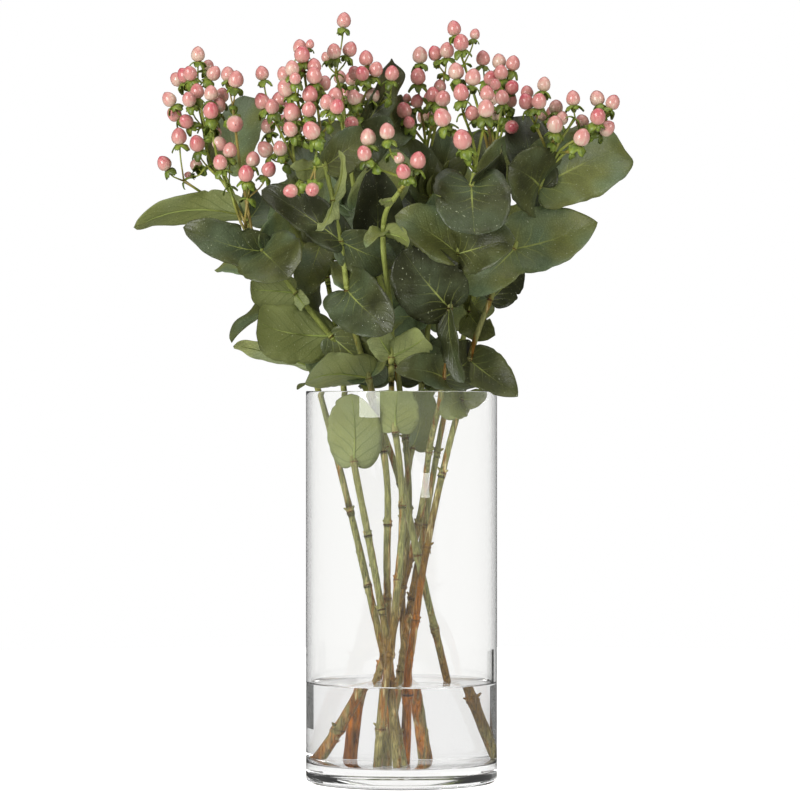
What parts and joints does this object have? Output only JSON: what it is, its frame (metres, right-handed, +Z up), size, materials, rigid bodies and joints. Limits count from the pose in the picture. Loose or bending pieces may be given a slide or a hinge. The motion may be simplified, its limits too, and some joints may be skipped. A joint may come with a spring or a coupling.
{
  "type": "hypericum berry stems in a glass vase",
  "caption": "Cut hypericum stems with broad dark green leaves and sprays of pink berries, standing in shallow water in a tall clear glass cylinder vase.",
  "frame": {"origin": "centre of the vase's flat underside, on the surface it stands on", "axes": "+Z up along the vase's axis, -Y towards the side that the bouquet faces, +X to that view's right"},
  "size_m": [0.3885, 0.2248, 0.5914],
  "materials": {
    "vase_glass": "clear, polished",
    "water": "clear liquid, smooth",
    "foliage": "satin leaf over brown-green bark",
    "berries": "waxy gloss"
  },
  "bodies": {
    "root": {"vase": "vase_glass", "water": "water", "leafy_stem_outer_left": "foliage", "leafy_stem_left": "foliage", "leafy_stem_inner_left": "foliage", "leafy_stem_mid_left": "foliage", "leafy_stem_mid_tall": "foliage", "leafy_stem_mid_front": "foliage", "leafy_stem_mid_back": "foliage", "leafy_stem_mid_right": "foliage", "leafy_stem_inner_right": "foliage", "leafy_stem_right": "foliage", "berry_spray_outer_left": "berries", "berry_spray_left": "berries", "berry_spray_inner_left": "berries", "berry_spray_mid_left": "berries", "berry_spray_mid_tall": "berries", "berry_spray_mid_front": "berries", "berry_spray_mid_back": "berries", "berry_spray_mid_right": "berries", "berry_spray_inner_right": "berries", "berry_spray_right": "berries"}
  },
  "joints": []
}
